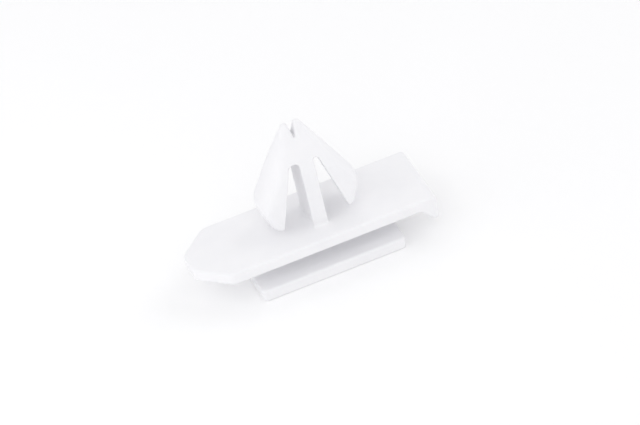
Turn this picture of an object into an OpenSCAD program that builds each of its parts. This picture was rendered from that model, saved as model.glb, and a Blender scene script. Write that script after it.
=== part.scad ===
// Push-in moulding clip: a seat plate that slides into a trim moulding by a T-shaped foot,
// and an arrowhead anchor on top whose two sprung wings snap behind the edge of a slotted panel.
// Frame: origin on the anchor's axis at the plate's top face, +Z the way the anchor is pushed in,
// +X along the plate towards its hooked end. Millimetres.

/* [Plate] */
// Width of the seat plate and of the foot flange
plate_w = 12; // [9:0.5:16]
// Length of the seat plate, tapered end to hooked end
plate_l = 33; // [28:0.4:40]
// Thickness of the seat plate
plate_t = 1.65; // [1.2:0.05:2.4]
// Length of plate between the tapered end and the anchor's axis
plate_lead = 17.6; // [15:0.1:20]
// Size of the 45 degree cut on each corner of the tapered end
lead_cut = 4.1; // [2:0.1:4.4]
// Radius of the two corners at the hooked end
end_corner_r = 0.6; // [0.3:0.1:1.5]

/* [End lip] */
// How far the lip hangs below the plate's top face
lip_drop = 3.4; // [2.6:0.05:4]
// Length of the lip where it leaves the plate
lip_base = 2.3; // [1.6:0.1:3]
// Length of the lip's flat lower edge
lip_edge = 0.95; // [0.5:0.05:1.4]

/* [Foot] */
// Length of the foot, centred under the anchor
foot_l = 20.3; // [14:0.1:22]
// Thickness of the foot's flange
flange_t = 1.7; // [1.2:0.1:2.4]
// Height of the slot between the plate and the flange
foot_gap = 2.8; // [1.6:0.1:4]
// Width of the web that joins the flange to the plate
web_w = 3.6; // [2.4:0.2:5]
// Radius of the flange's four corners
flange_corner_r = 0.7; // [0.3:0.1:1.5]

/* [Anchor] */
// Height of the two prong tips above the plate
anchor_h = 15.4; // [15:0.1:16]
// Height of the point where the conical sides would meet
apex_h = 17.65; // [17.4:0.05:18]
// Height of the crease where the front and back turn from sloping to upright
crease_h = 10.4; // [9.8:0.1:11]
// Widening of the cone for each millimetre below that point, as a radius
cone_slope = 0.535; // [0.5:0.005:0.56]
// Depth of the anchor between its two flat sides
anchor_d = 5.6; // [5:0.2:7]
// Depth of the anchor at the bottom of the notch
fork_d = 1.6; // [1.4:0.1:2]
// Depth of the two prong tips
tip_d = 0.9; // [0.7:0.1:1.2]
// Thickness of the central stem
stem_t = 2; // [1.8:0.1:2.6]
// Distance from the anchor's axis to the middle of the stem
stem_shift = 0.35; // [0:0.05:0.5]
// Width and height of the chamfered root where the stem meets the plate
root_size = 0.3; // [0.2:0.1:0.8]
// Height of the windows' ceiling, which is where the wings bend
window_h = 10.3; // [10:0.1:11]
// Height of the bottom of the notch between the prongs
notch_h = 13.4; // [13:0.1:13.8]
// Half angle of the notch
notch_angle = 10; // [6:1:12]

/* [Wings] */
// Distance from the anchor's axis to a wing's inner face, at the windows' ceiling
wing_inner = 2.05; // [2:0.05:2.4]
// Slope of the wing's inner face away from the stem
wing_slope = 0.28; // [0.2:0.005:0.29]
// Radius of the widest ring of the barbs
barb_r = 6.9; // [6.6:0.05:7.2]
// Height of the widest ring of the barbs
barb_h = 3.9; // [3.5:0.1:4.1]
// Radius of the barbs at their lower ends
barb_foot_r = 5.9; // [5.6:0.05:6.2]
// Height of the wings' free ends above the plate
wing_clear = 1.35; // [1.2:0.05:1.8]
// Height where the straight wing becomes the barb
barb_top = 5; // [4.6:0.1:6]

/* [Hidden] */
$fn = 96;

plate_x0 = -plate_lead;
plate_x1 = plate_l - plate_lead;
flange_z1 = -plate_t - foot_gap;
flange_z0 = flange_z1 - flange_t;
notch_floor = 0.1;                                    // half width of the notch at its bottom
ring_h = (apex_h * cone_slope - barb_r) / cone_slope; // where the cone has the barb's radius
hinge_clear = 0.06;                                   // running clearance round a wing's knuckle
hinge_z = window_h;
hinge_out = (apex_h - window_h) * cone_slope;         // outer face of a wing at its hinge
hinge_x = (wing_inner + hinge_out) / 2;
hinge_r = (hinge_out - wing_inner - hinge_clear) / 2;
stem_x0 = stem_shift - stem_t / 2;
stem_x1 = stem_shift + stem_t / 2;
reach = 40;                                           // longer than anything that is cut

ivory = [0.95, 0.95, 0.96];
pearl = [0.90, 0.90, 0.93];

// A flat bar with round corners at +X, and square ones at -X when left_r is 0
module bar(x0, x1, w, t, right_r, left_r) {
    translate([x0 + left_r, -w / 2, 0])
        cube([x1 - x0 - left_r - right_r, w, t]);
    translate([x0, -w / 2 + right_r, 0])
        cube([x1 - x0, w - 2 * right_r, t]);
    for (side = [-1, 1])
        translate([x1 - right_r, side * (w / 2 - right_r), 0])
            cylinder(h = t, r = right_r);
    if (left_r > 0)
        for (side = [-1, 1])
            translate([x0 + left_r, side * (w / 2 - left_r), 0])
                cylinder(h = t, r = left_r);
}

// Outline in the XZ plane, given depth along Y and centred on it
module along_y(depth) {
    rotate([90, 0, 0])
        linear_extrude(height = depth, center = true)
            children();
}

// Upright and then sloping faces that bound the anchor's front and back
module front_and_back() {
    rotate([0, 0, 90])
        along_y(reach)
            polygon([
                [-anchor_d / 2, 0],
                [anchor_d / 2, 0],
                [anchor_d / 2, crease_h],
                [fork_d / 2, notch_h],
                [tip_d / 2, anchor_h],
                [-tip_d / 2, anchor_h],
                [-fork_d / 2, notch_h],
                [-anchor_d / 2, crease_h]
            ]);
}

// The arrowhead between two heights: a cone cut by its front and back faces
module arrowhead(z0, z1) {
    intersection() {
        translate([0, 0, z0])
            cylinder(h = z1 - z0, r1 = (apex_h - z0) * cone_slope, r2 = (apex_h - z1) * cone_slope);
        front_and_back();
    }
}

// The barbs' outer form: cone, widest ring and return slope
module barb_form() {
    intersection() {
        rotate_extrude()
            polygon([
                [0, wing_clear],
                [barb_foot_r, wing_clear],
                [barb_r, barb_h],
                [barb_r, ring_h],
                [(apex_h - barb_top) * cone_slope, barb_top],
                [0, barb_top]
            ]);
        front_and_back();
    }
}

// Half space outside the inner face of the right wing, between two heights
module outside_inner_face(z0, z1) {
    along_y(anchor_d + 2)
        polygon([
            [wing_inner + (window_h - z0) * wing_slope, z0],
            [reach / 2, z0],
            [reach / 2, z1],
            [wing_inner + (window_h - z1) * wing_slope, z1]
        ]);
}

// Round knuckle that the right wing turns about
module knuckle(r) {
    translate([hinge_x, 0, hinge_z])
        rotate([90, 0, 0])
            cylinder(h = anchor_d + 2, r = r, center = true);
}

module right_wing_solid() {
    intersection() {
        arrowhead(barb_top, hinge_z + hinge_r);
        union() {
            outside_inner_face(barb_top, hinge_z);
            knuckle(hinge_r);
        }
    }
}

module right_barb_solid() {
    intersection() {
        barb_form();
        outside_inner_face(wing_clear, barb_top);
    }
}

module right_prong_solid() {
    rise = anchor_h - notch_h;
    intersection() {
        arrowhead(notch_h, anchor_h);
        along_y(anchor_d + 2)
            polygon([
                [notch_floor, notch_h],
                [reach / 2, notch_h],
                [reach / 2, anchor_h],
                [notch_floor + rise * tan(notch_angle), anchor_h]
            ]);
    }
}

module base_plate() {
    color(ivory)
        difference() {
            translate([0, 0, -plate_t])
                bar(plate_x0, plate_x1, plate_w, plate_t, end_corner_r, 0);
            for (side = [-1, 1])
                translate([plate_x0, side * plate_w / 2, -plate_t - 1])
                    rotate([0, 0, 45])
                        cube([lead_cut * sqrt(2), lead_cut * sqrt(2), 2 * (plate_t + 2)], center = true);
        }
}

module end_lip() {
    color(ivory)
        intersection() {
            along_y(plate_w + 2)
                polygon([
                    [plate_x1 - lip_base, -plate_t],
                    [plate_x1 + 1, -plate_t],
                    [plate_x1 + 1, -lip_drop],
                    [plate_x1 - lip_edge, -lip_drop]
                ]);
            translate([0, 0, -lip_drop - 1])
                bar(0, plate_x1, plate_w, lip_drop + 1, end_corner_r, 0);
        }
}

module foot_web() {
    color(pearl)
        translate([-foot_l / 2, -web_w / 2, flange_z1])
            cube([foot_l, web_w, foot_gap]);
}

module foot_flange() {
    color(pearl)
        translate([0, 0, flange_z0])
            bar(-foot_l / 2, foot_l / 2, plate_w, flange_t, flange_corner_r, flange_corner_r);
}

module stem_root() {
    color(ivory)
        intersection() {
            along_y(reach)
                polygon([
                    [stem_x0 - root_size, 0],
                    [stem_x1 + root_size, 0],
                    [stem_x1, root_size],
                    [stem_x0, root_size]
                ]);
            rotate([0, 0, 90])
                along_y(reach)
                    polygon([
                        [-anchor_d / 2 - root_size, 0],
                        [anchor_d / 2 + root_size, 0],
                        [anchor_d / 2, root_size],
                        [-anchor_d / 2, root_size]
                    ]);
        }
}

module stem() {
    color(ivory)
        intersection() {
            translate([stem_x0, -anchor_d / 2, root_size])
                cube([stem_t, anchor_d, window_h - root_size]);
            front_and_back();
        }
}

module head() {
    color(ivory)
        difference() {
            arrowhead(window_h, notch_h);
            for (turn = [0, 180])
                rotate([0, 0, turn])
                    knuckle(hinge_r + hinge_clear);
        }
}

module left_prong() {
    color(ivory)
        rotate([0, 0, 180])
            right_prong_solid();
}

module right_prong() {
    color(ivory)
        right_prong_solid();
}

module left_wing() {
    color(pearl)
        rotate([0, 0, 180])
            right_wing_solid();
}

module left_barb() {
    color(pearl)
        rotate([0, 0, 180])
            right_barb_solid();
}

module right_wing() {
    color(pearl)
        right_wing_solid();
}

module right_barb() {
    color(pearl)
        right_barb_solid();
}

base_plate();
end_lip();
foot_web();
foot_flange();
stem_root();
stem();
head();
left_prong();
right_prong();
left_wing();
left_barb();
right_wing();
right_barb();
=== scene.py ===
import math

import bmesh
import bpy
import numpy as np
from mathutils import Matrix, Vector


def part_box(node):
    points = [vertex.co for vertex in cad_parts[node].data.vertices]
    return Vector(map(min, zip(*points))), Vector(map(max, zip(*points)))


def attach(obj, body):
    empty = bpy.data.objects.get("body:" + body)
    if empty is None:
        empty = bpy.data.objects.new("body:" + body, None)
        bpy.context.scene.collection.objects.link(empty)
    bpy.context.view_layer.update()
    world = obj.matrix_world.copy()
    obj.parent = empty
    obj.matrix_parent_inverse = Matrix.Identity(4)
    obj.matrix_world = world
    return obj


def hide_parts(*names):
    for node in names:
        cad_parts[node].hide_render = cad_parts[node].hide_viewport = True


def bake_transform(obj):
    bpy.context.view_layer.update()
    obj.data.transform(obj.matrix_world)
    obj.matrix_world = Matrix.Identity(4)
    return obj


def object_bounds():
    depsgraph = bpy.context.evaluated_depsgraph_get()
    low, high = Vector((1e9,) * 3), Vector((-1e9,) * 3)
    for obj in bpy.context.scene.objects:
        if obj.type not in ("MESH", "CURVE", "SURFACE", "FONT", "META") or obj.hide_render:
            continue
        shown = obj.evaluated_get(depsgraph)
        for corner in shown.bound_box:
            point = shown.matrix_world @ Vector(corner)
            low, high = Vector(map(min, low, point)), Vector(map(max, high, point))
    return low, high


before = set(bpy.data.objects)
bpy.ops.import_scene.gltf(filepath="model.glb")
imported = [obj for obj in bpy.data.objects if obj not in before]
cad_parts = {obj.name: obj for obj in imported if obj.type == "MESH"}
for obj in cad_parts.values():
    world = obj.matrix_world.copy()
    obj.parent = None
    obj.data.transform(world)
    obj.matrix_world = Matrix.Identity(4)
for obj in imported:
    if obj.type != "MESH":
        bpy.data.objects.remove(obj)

cad_low, cad_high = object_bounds()
MM = 0.001


def span(node):
    """The lowest and highest corner of a CAD node, in millimetres"""
    low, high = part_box(node)
    return np.array(low) / MM, np.array(high) / MM


# Sizes of the CAD features, in millimetres
PLATE_LOW, PLATE_HIGH = span("base_plate")
LIP_LOW, LIP_HIGH = span("end_lip")
WEB_HIGH = span("foot_web")[1]
FLANGE_LOW, FLANGE_HIGH = span("foot_flange")
STEM_LOW, STEM_HIGH = span("stem")
HEAD_HIGH = span("head")[1]
PRONG_LOW, PRONG_HIGH = span("right_prong")
WING_LOW, WING_HIGH = span("right_wing")
BARB_LOW, BARB_HIGH = span("right_barb")

PLATE_TOP = PLATE_HIGH[2]
PLATE_UNDER = PLATE_LOW[2]
PLATE_MIDDLE = (PLATE_TOP + PLATE_UNDER) / 2
SHELF = FLANGE_HIGH[2]
WINDOW_TOP = STEM_HIGH[2]
NOTCH_FLOOR = PRONG_LOW[2]
TIP = PRONG_HIGH[2]
WING_END = BARB_LOW[2]
HALF_STEM = (STEM_HIGH[0] - STEM_LOW[0]) / 2
STEM_MIDDLE = (STEM_HIGH[0] + STEM_LOW[0]) / 2
HALF_DEPTH = STEM_HIGH[1]
CONE_SLOPE = (WING_HIGH[0] - PRONG_HIGH[0]) / (NOTCH_FLOOR - BARB_HIGH[2])
APEX = NOTCH_FLOOR + PRONG_HIGH[0] / CONE_SLOPE
FACE_SLOPE = (HEAD_HIGH[1] - PRONG_HIGH[1]) / (NOTCH_FLOOR - WINDOW_TOP)
WING_SLOPE = (BARB_LOW[0] - WING_LOW[0]) / (WINDOW_TOP - BARB_HIGH[2])
RIGHT_GAP = WING_LOW[0] - STEM_HIGH[0]  # between the stem and the right wing, at the windows' top
LEFT_GAP = WING_LOW[0] + STEM_LOW[0]  # the left wing mirrors the right one, but the stem is off centre

# Shapes that a box can't give, in millimetres
LEAD_CUT = 4.1
LIP_EDGE = 0.95
HALF_TIP = 0.45
BARB_RING = 3.9
BARB_FOOT = 5.9
NOTCH_SPREAD = math.tan(math.radians(10.5))

# Radii of the moulding's corners and fillets, in millimetres
EDGE = 0.3
FINE_EDGE = 0.1
WING_EDGE = 0.55
LEAD_ROUND = 0.5
END_ROUND = 0.7
END_ROLL = 0.75
FLANGE_ROUND = 0.7
LIP_FILLET = 0.35
ROOT_FILLET = 0.38
WEB_FILLET = 0.35
BARB_ROUND = 0.35
CREASE_ROUND = 1.2
FORK_FILLET = 1.0
TIP_ROUND = 0.4
LEFT_ARCH = LEFT_GAP * 0.44
RIGHT_ARCH = RIGHT_GAP * 0.48
NOTCH_ROUND = 0.11

# ---------------------------------------------------------------- the moulding's field


def meet(radius, *parts):
    """Where all the parts overlap, with the outer corners rounded"""
    raised = [part + radius for part in parts]
    most = np.maximum.reduce(raised)
    corner = np.sqrt(sum(np.maximum(value, 0) ** 2 for value in raised))
    return np.minimum(most, 0) + corner - radius


def join(radius, *parts):
    """All the parts together, with the inner corners filled"""
    return -meet(radius, *[-part for part in parts])


def through(x, z, start, end):
    """Distance to the right of the line from start to end in the XZ plane"""
    run, rise = end[0] - start[0], end[1] - start[1]
    return ((x - start[0]) * rise - (z - start[1]) * run) / math.hypot(run, rise)


def plate_field(x, y, z):
    """Seat plate with its tapered end and its hooked end"""
    side = np.abs(y) - PLATE_HIGH[1]
    end = x - PLATE_HIGH[0]
    top = z - PLATE_TOP
    taper = (LEAD_CUT - (x - PLATE_LOW[0]) + side) / math.sqrt(2)
    plan = np.maximum(
        meet(LEAD_ROUND, side, PLATE_LOW[0] - x, taper), meet(END_ROUND, end, side)
    )
    inner = -through(
        x, z, (LIP_HIGH[0] - LIP_EDGE, LIP_LOW[2]), (LIP_LOW[0], LIP_HIGH[2])
    )
    under = join(LIP_FILLET, PLATE_UNDER - z, inner)
    body = meet(EDGE, plan, top, LIP_LOW[2] - z, under)
    return np.maximum(body, meet(END_ROLL, end, top))


def foot_field(x, y, z):
    """T-shaped foot: a web and the flange that slides into the moulding"""
    plan = meet(FLANGE_ROUND, np.abs(x) - FLANGE_HIGH[0], np.abs(y) - FLANGE_HIGH[1])
    shelf = join(WEB_FILLET, z - SHELF, np.abs(y) - WEB_HIGH[1])
    body = meet(EDGE, plan, FLANGE_LOW[2] - z, shelf)
    return np.maximum(body, z - PLATE_MIDDLE)


def shell_field(x, y, z):
    """Outer form of the arrowhead: cone, widest ring, return slope and flat faces"""
    around = np.hypot(x, y)
    cone = (around - (APEX - z) * CONE_SLOPE) / math.hypot(1, CONE_SLOPE)
    ring = around - BARB_HIGH[0]
    back = through(around, z, (BARB_FOOT, WING_END), (BARB_HIGH[0], BARB_RING))
    upright = np.abs(y) - HALF_DEPTH
    half_fork = PRONG_HIGH[1]
    tip_slope = (half_fork - HALF_TIP) / (TIP - NOTCH_FLOOR)
    sloping = np.abs(y) - half_fork - (NOTCH_FLOOR - z) * FACE_SLOPE
    narrow = np.abs(y) - half_fork - (NOTCH_FLOOR - z) * tip_slope
    sloping = sloping / math.hypot(1, FACE_SLOPE)
    prongs = join(FORK_FILLET, sloping, narrow / math.hypot(1, tip_slope))
    faces = meet(CREASE_ROUND, upright, prongs)
    outside = meet(BARB_ROUND, cone, ring, back)
    return meet(WING_EDGE, outside, faces)


def gap_field(x, y, z):
    """The open space beside the stem: the window and the room under the wing"""
    beside = np.abs(x)
    lean = math.hypot(1, WING_SLOPE)
    inner = (beside - WING_LOW[0] - (WINDOW_TOP - z) * WING_SLOPE) / lean
    open_side = join(FINE_EDGE, inner, z - WING_END)
    past_stem = HALF_STEM - np.abs(x - STEM_MIDDLE)
    arch = np.where(x > STEM_MIDDLE, RIGHT_ARCH, LEFT_ARCH)
    return meet(arch, past_stem, z - WINDOW_TOP, open_side)


def notch_field(x, y, z):
    """The notch between the two prongs"""
    rise = z - NOTCH_FLOOR
    wall = (np.abs(x) - PRONG_LOW[0] - rise * NOTCH_SPREAD) / math.hypot(1, NOTCH_SPREAD)
    return meet(NOTCH_ROUND, wall, -rise)


def anchor_field(x, y, z):
    """Stem, arrowhead, wings and prongs"""
    shell = meet(TIP_ROUND, shell_field(x, y, z), z - TIP, -notch_field(x, y, z))
    body = meet(FINE_EDGE, shell, -gap_field(x, y, z))
    return np.maximum(body, PLATE_MIDDLE - z)


def clip_field(x, y, z):
    """The whole moulding: below zero inside, above zero outside"""
    seat = join(WEB_FILLET, plate_field(x, y, z), foot_field(x, y, z))
    return join(ROOT_FILLET, seat, anchor_field(x, y, z))


def clip_slope(points):
    """Direction and steepness of the field at each point"""
    small = 0.002
    slope = np.empty_like(points)
    for axis in range(3):
        ahead, behind = points.copy(), points.copy()
        ahead[:, axis] += small
        behind[:, axis] -= small
        slope[:, axis] = (clip_field(*ahead.T) - clip_field(*behind.T)) / (2 * small)
    return slope


# ---------------------------------------------------------------- its skin


def stations(low, high, marks, fine, coarse):
    """Grid lines from low to high, closest together next to the marks"""
    growth = 0.3
    calm = 3 * fine
    lines = [low]
    while lines[-1] < high:
        near = min(abs(lines[-1] - mark) for mark in marks)
        lines.append(lines[-1] + min(coarse, fine + growth * max(near - calm, 0)))
    return np.array(lines)


def grid_lines():
    """Grid lines along X, Y and Z, fine at the corners and through the anchor"""
    fine, middle, coarse, margin = 0.11, 0.16, 0.45, 0.4
    broad = 1.6 * middle
    anchor = BARB_HIGH[0] + margin
    x_marks = [PLATE_LOW[0], PLATE_LOW[0] + LEAD_CUT, LIP_LOW[0], LIP_HIGH[0] - LIP_EDGE]
    x_marks += [PLATE_HIGH[0], -FLANGE_HIGH[0], FLANGE_HIGH[0]]
    outer_left = stations(PLATE_LOW[0] - margin, -anchor, x_marks, fine, coarse)
    outer_right = stations(anchor, PLATE_HIGH[0] + margin, x_marks, fine, coarse)
    across = np.arange(-anchor, anchor, middle)
    xs = np.concatenate([outer_left[outer_left < -anchor], across, outer_right])
    y_marks = [WEB_HIGH[1], HALF_DEPTH, FLANGE_HIGH[1], 0]
    half = stations(middle / 2, PLATE_HIGH[1] + margin, y_marks, fine, broad)
    ys = np.concatenate([-half[::-1], half])
    z_marks = [FLANGE_LOW[2], SHELF, LIP_LOW[2], PLATE_UNDER, PLATE_TOP, WING_END]
    below = stations(FLANGE_LOW[2] - margin, WING_END, z_marks, fine, coarse)
    zs = np.concatenate([below[below < WING_END], np.arange(WING_END, TIP + margin, middle)])
    return xs, ys, zs


def crossings(level, axis, lines):
    """Where the grid's edges along one axis pass through the skin"""
    first = np.take(level, range(level.shape[axis] - 1), axis)
    last = np.take(level, range(1, level.shape[axis]), axis)
    crossed = (first < 0) != (last < 0)
    spot = np.array(np.nonzero(crossed))
    share = first[crossed] / (first[crossed] - last[crossed])
    place = np.stack([lines[k][spot[k]] for k in range(3)], 1)
    place[:, axis] += share * (lines[axis][spot[axis] + 1] - lines[axis][spot[axis]])
    return spot, place, first[crossed] < 0


def skin(lines):
    """Points and four-sided faces on the zero level, one point for each cell it passes"""
    level = clip_field(*np.meshgrid(*lines, indexing="ij"))
    cells = [len(line) - 1 for line in lines]
    total = np.zeros((math.prod(cells), 3))
    count = np.zeros(math.prod(cells))
    rings = []
    for axis in range(3):
        spot, place, leaving = crossings(level, axis, lines)
        second, third = (axis + 1) % 3, (axis + 2) % 3
        ring = []
        for back_second, back_third in ((0, 0), (1, 0), (1, 1), (0, 1)):
            cell = spot.copy()
            cell[second] -= back_second
            cell[third] -= back_third
            index = np.ravel_multi_index(cell, cells)
            np.add.at(total, index, place)
            np.add.at(count, index, 1)
            ring.append(index)
        ring = np.stack(ring, 1)
        rings.append(np.where(leaving[:, None], ring, ring[:, ::-1]))
    used = np.nonzero(count)[0]
    number = np.full(math.prod(cells), -1)
    number[used] = np.arange(len(used))
    return total[used] / count[used, None], number[np.concatenate(rings)]


def settle(points):
    """Draws the points onto the field's zero level"""
    rounds, least_steep, longest = 6, 0.2, 0.08
    for _ in range(rounds):
        slope = clip_slope(points)
        steep = np.maximum((slope**2).sum(1), least_steep)
        step = (clip_field(*points.T) / steep)[:, None] * slope
        points = points - np.clip(step, -longest, longest)
    return points


# ---------------------------------------------------------------- its pieces


def cut(bm, axis, limit, outward):
    """Removes what lies beyond the limit on one axis, and closes the cut"""
    normal = Vector((0, 0, 0))
    normal[axis] = outward
    spot = Vector((0, 0, 0))
    spot[axis] = limit
    everything = bm.verts[:] + bm.edges[:] + bm.faces[:]
    made = bmesh.ops.bisect_plane(
        bm, geom=everything, dist=1e-6, plane_co=spot, plane_no=normal, clear_outer=True
    )
    rim = [part for part in made["geom_cut"] if isinstance(part, bmesh.types.BMEdge)]
    rim = [edge for edge in rim if edge.is_boundary]
    if rim:
        lid = bmesh.ops.triangle_fill(bm, use_beauty=True, edges=rim)["geom"]
        flat = bm.faces.layers.int["flat"]
        for face in lid:
            if isinstance(face, bmesh.types.BMFace):
                face[flat] = 1
                face.normal_update()
                if face.normal.dot(normal) < 0:
                    face.normal_flip()


def shade(mesh):
    """Gives every corner the field's own direction, so that no seam shows"""
    flat = np.zeros(len(mesh.polygons), int)
    mesh.attributes["flat"].data.foreach_get("value", flat)
    mesh.polygons.foreach_set("use_smooth", flat == 0)
    points = np.zeros(len(mesh.vertices) * 3)
    mesh.vertices.foreach_get("co", points)
    slope = clip_slope(points.reshape(-1, 3))
    slope /= np.maximum(np.linalg.norm(slope, axis=1), 1e-9)[:, None]
    owner = np.zeros(len(mesh.loops), int)
    mesh.loops.foreach_get("vertex_index", owner)
    sides = np.zeros(len(mesh.polygons), int)
    mesh.polygons.foreach_get("loop_total", sides)
    facing = np.zeros(len(mesh.polygons) * 3)
    mesh.polygons.foreach_get("normal", facing)
    facing = facing.reshape(-1, 3)
    on_lid = np.repeat(flat == 1, sides)[:, None]
    normals = np.where(on_lid, np.repeat(facing, sides, 0), slope[owner])
    mesh.normals_split_custom_set(normals.tolist())
    mesh.attributes.remove(mesh.attributes["flat"])


def carve(name, points, faces, limits):
    """One feature of the moulding: the skin between the limits, closed where it is parted

    The heights are cut first, so that the cuts along X cross pieces that are closed there.
    """
    reach = 0.6
    near = (points[:, 2] > limits[2][0] - reach) & (points[:, 2] < limits[2][1] + reach)
    kept = faces[near[faces].any(1)]
    used, renumbered = np.unique(kept, return_inverse=True)
    mesh = bpy.data.meshes.new(name)
    mesh.from_pydata(points[used].tolist(), [], renumbered.reshape(-1, 4).tolist())
    bm = bmesh.new()
    bm.from_mesh(mesh)
    bm.faces.layers.int.new("flat")
    for axis in (2, 0):
        for outward, limit in zip((-1, 1), limits[axis]):
            if math.isfinite(limit):
                cut(bm, axis, limit, outward)
    bm.to_mesh(mesh)
    bm.free()
    shade(mesh)
    mesh.transform(Matrix.Scale(MM, 4))
    piece = bpy.data.objects.new(name, mesh)
    bpy.context.scene.collection.objects.link(piece)
    return piece


def moulding():
    """All the pieces of the clip, parted at its features"""
    points, faces = skin(grid_lines())
    points = settle(points)
    far = math.inf
    hair = 0.03
    every = (-far, far)
    seat_top, seat_under = PLATE_TOP + hair, PLATE_UNDER - hair
    shelf, neck, fork = SHELF + hair, WINDOW_TOP + hair, NOTCH_FLOOR - hair
    before_lip = (FLANGE_HIGH[0] + LIP_LOW[0]) / 2
    left_arch, right_arch = STEM_LOW[0] - LEFT_GAP / 2, STEM_HIGH[0] + RIGHT_GAP / 2
    regions = {
        "plate": (every, every, (seat_under, seat_top)),
        "end_hook": ((before_lip, far), every, (-far, seat_under)),
        "foot_spine": ((-far, before_lip), every, (shelf, seat_under)),
        "foot_tee": ((-far, before_lip), every, (-far, shelf)),
        "centre_post": ((left_arch, right_arch), every, (seat_top, neck)),
        "arrow_head": (every, every, (neck, fork)),
        "prong_left": ((-far, 0), every, (fork, far)),
        "prong_right": ((0, far), every, (fork, far)),
        "wing_left": ((-far, left_arch), every, (seat_top, neck)),
        "wing_right": ((right_arch, far), every, (seat_top, neck)),
    }
    return {name: carve(name, points, faces, limits) for name, limits in regions.items()}


# ---------------------------------------------------------------- materials


def blank(name):
    """A new node material with its tree, shader and output"""
    material = bpy.data.materials.new(name)
    material.use_nodes = True
    tree = material.node_tree
    tree.nodes.clear()
    shader = tree.nodes.new("ShaderNodeBsdfPrincipled")
    output = tree.nodes.new("ShaderNodeOutputMaterial")
    tree.links.new(shader.outputs["BSDF"], output.inputs["Surface"])
    return material, tree, shader


def noise(tree, place, size, detail, roughness):
    """Noise whose features are about size millimetres across"""
    made = tree.nodes.new("ShaderNodeTexNoise")
    made.inputs["Scale"].default_value = 1 / (size * MM)
    made.inputs["Detail"].default_value = detail
    made.inputs["Roughness"].default_value = roughness
    tree.links.new(place, made.inputs["Vector"])
    return made.outputs["Fac"]


def spread(tree, source, low, high):
    """The source's middle range stretched over low to high"""
    made = tree.nodes.new("ShaderNodeMapRange")
    made.inputs["From Min"].default_value = 0.3
    made.inputs["From Max"].default_value = 0.7
    made.inputs["To Min"].default_value = low
    made.inputs["To Max"].default_value = high
    tree.links.new(source, made.inputs["Value"])
    return made.outputs["Result"]


def natural_plastic():
    """Unpigmented nylon: milky, satin, with the mould's fine grain and faint flow clouding"""
    material, tree, shader = blank("natural_plastic_moulded")
    place = tree.nodes.new("ShaderNodeTexCoord").outputs["Object"]
    flow = noise(tree, place, 5.0, 3, 0.55)
    mix = tree.nodes.new("ShaderNodeMix")
    mix.data_type = "RGBA"
    mix.inputs["A"].default_value = (0.91, 0.908, 0.926, 1)
    mix.inputs["B"].default_value = (0.94, 0.937, 0.951, 1)
    tree.links.new(spread(tree, flow, 0, 1), mix.inputs["Factor"])
    tree.links.new(mix.outputs["Result"], shader.inputs["Base Color"])
    satin = noise(tree, place, 1.2, 4, 0.6)
    tree.links.new(spread(tree, satin, 0.42, 0.54), shader.inputs["Roughness"])
    grain = noise(tree, place, 0.09, 3, 0.6)
    wave = noise(tree, place, 2.4, 2, 0.5)
    fine = tree.nodes.new("ShaderNodeBump")
    fine.inputs["Strength"].default_value = 0.18
    fine.inputs["Distance"].default_value = 0.008 * MM
    tree.links.new(grain, fine.inputs["Height"])
    broad = tree.nodes.new("ShaderNodeBump")
    broad.inputs["Strength"].default_value = 0.5
    broad.inputs["Distance"].default_value = 0.03 * MM
    tree.links.new(wave, broad.inputs["Height"])
    tree.links.new(fine.outputs["Normal"], broad.inputs["Normal"])
    tree.links.new(broad.outputs["Normal"], shader.inputs["Normal"])
    shader.inputs["IOR"].default_value = 1.5
    shader.inputs["Specular IOR Level"].default_value = 0.4
    return material


def pale_floor():
    """Seamless white studio paper"""
    material, tree, shader = blank("studio_paper")
    place = tree.nodes.new("ShaderNodeTexCoord").outputs["Object"]
    mix = tree.nodes.new("ShaderNodeMix")
    mix.data_type = "RGBA"
    mix.inputs["A"].default_value = (0.93, 0.93, 0.933, 1)
    mix.inputs["B"].default_value = (0.95, 0.95, 0.952, 1)
    tree.links.new(noise(tree, place, 2.0, 4, 0.6), mix.inputs["Factor"])
    tree.links.new(mix.outputs["Result"], shader.inputs["Base Color"])
    shader.inputs["Roughness"].default_value = 0.9
    shader.inputs["Specular IOR Level"].default_value = 0.1
    shader.inputs["Emission Color"].default_value = (1, 1, 1, 1)
    shader.inputs["Emission Strength"].default_value = 0.07
    return material


# ---------------------------------------------------------------- the clip

BODY = "clip_body"
STANDS_FOR = {
    "plate": ["base_plate"],
    "end_hook": ["end_lip"],
    "foot_spine": ["foot_web"],
    "foot_tee": ["foot_flange"],
    "centre_post": ["stem_root", "stem"],
    "arrow_head": ["head"],
    "prong_left": ["left_prong"],
    "prong_right": ["right_prong"],
    "wing_left": ["left_wing", "left_barb"],
    "wing_right": ["right_wing", "right_barb"],
}
FLEXES = {"wing_left": "left_wing_body", "wing_right": "right_wing_body"}

plastic = natural_plastic()
for name, piece in moulding().items():
    piece.data.materials.append(plastic)
    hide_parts(*STANDS_FOR[name])
    if name in FLEXES:
        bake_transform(piece)
    else:
        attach(piece, BODY)

# ---------------------------------------------------------------- studio


def floor():
    """A large pale floor under the foot"""
    half = 3.0
    mesh = bpy.data.meshes.new("floor")
    corners = [(-half, -half, 0), (half, -half, 0), (half, half, 0), (-half, half, 0)]
    mesh.from_pydata(corners, [], [(0, 1, 2, 3)])
    made = bpy.data.objects.new("floor", mesh)
    made.location = (0, 0, FLANGE_LOW[2] * MM)
    mesh.materials.append(pale_floor())
    bpy.context.scene.collection.objects.link(made)


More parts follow.
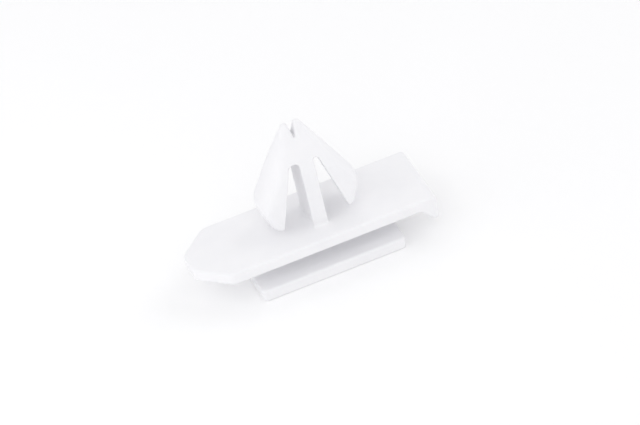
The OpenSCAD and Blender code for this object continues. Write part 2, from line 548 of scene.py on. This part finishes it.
def aimed(made, spot, target):
    """Puts an object at a spot, looking at the target"""
    made.location = spot
    made.rotation_mode = "QUATERNION"
    made.rotation_quaternion = (target - spot).to_track_quat("-Z", "Y")
    bpy.context.scene.collection.objects.link(made)


def soft_light(name, azimuth, elevation, distance, size, power):
    """A square soft box aimed at the clip"""
    data = bpy.data.lights.new(name, "AREA")
    data.size = size
    data.energy = power
    turn, rise = math.radians(azimuth), math.radians(elevation)
    towards = Vector(
        (math.sin(turn) * math.cos(rise), -math.cos(turn) * math.cos(rise), math.sin(rise))
    )
    centre = (cad_low + cad_high) / 2
    aimed(bpy.data.objects.new(name, data), centre + towards * distance, centre)


def surroundings():
    """Even white light from all round"""
    world = bpy.data.worlds.new("studio")
    world.use_nodes = True
    sky = world.node_tree.nodes["Background"]
    sky.inputs["Color"].default_value = (0.985, 0.985, 1.0, 1)
    sky.inputs["Strength"].default_value = 0.58
    bpy.context.scene.world = world


def camera():
    """A long lens at the photograph's angle, with the photograph's slight roll"""
    azimuth, elevation, roll = math.radians(-12.56), math.radians(36.5), math.radians(-13.74)
    lens, distance = 369, 0.855
    back = Vector(
        (
            math.sin(azimuth) * math.cos(elevation),
            -math.cos(azimuth) * math.cos(elevation),
            math.sin(elevation),
        )
    )
    level = Vector((0, 0, 1)).cross(back).normalized()
    above = back.cross(level)
    right = math.cos(roll) * level + math.sin(roll) * above
    up = math.cos(roll) * above - math.sin(roll) * level
    data = bpy.data.cameras.new("camera")
    data.lens = lens
    data.clip_start, data.clip_end = 0.01, 20
    made = bpy.data.objects.new("camera", data)
    target = Vector((1.071, -0.25, 0.043)) * MM
    turn = Matrix((right, up, back)).transposed().to_4x4()
    made.matrix_world = Matrix.Translation(target + back * distance) @ turn
    bpy.context.scene.collection.objects.link(made)
    bpy.context.scene.camera = made


floor()
surroundings()
soft_light("front", -12, 42, 0.6, 0.55, 0.85)
soft_light("left", -84, 34, 0.2, 0.22, 0.11)
soft_light("right", 88, 34, 0.6, 0.6, 1.0)
soft_light("back", 178, 50, 0.6, 0.6, 0.45)
camera()
bpy.context.scene.view_settings.view_transform = "Standard"
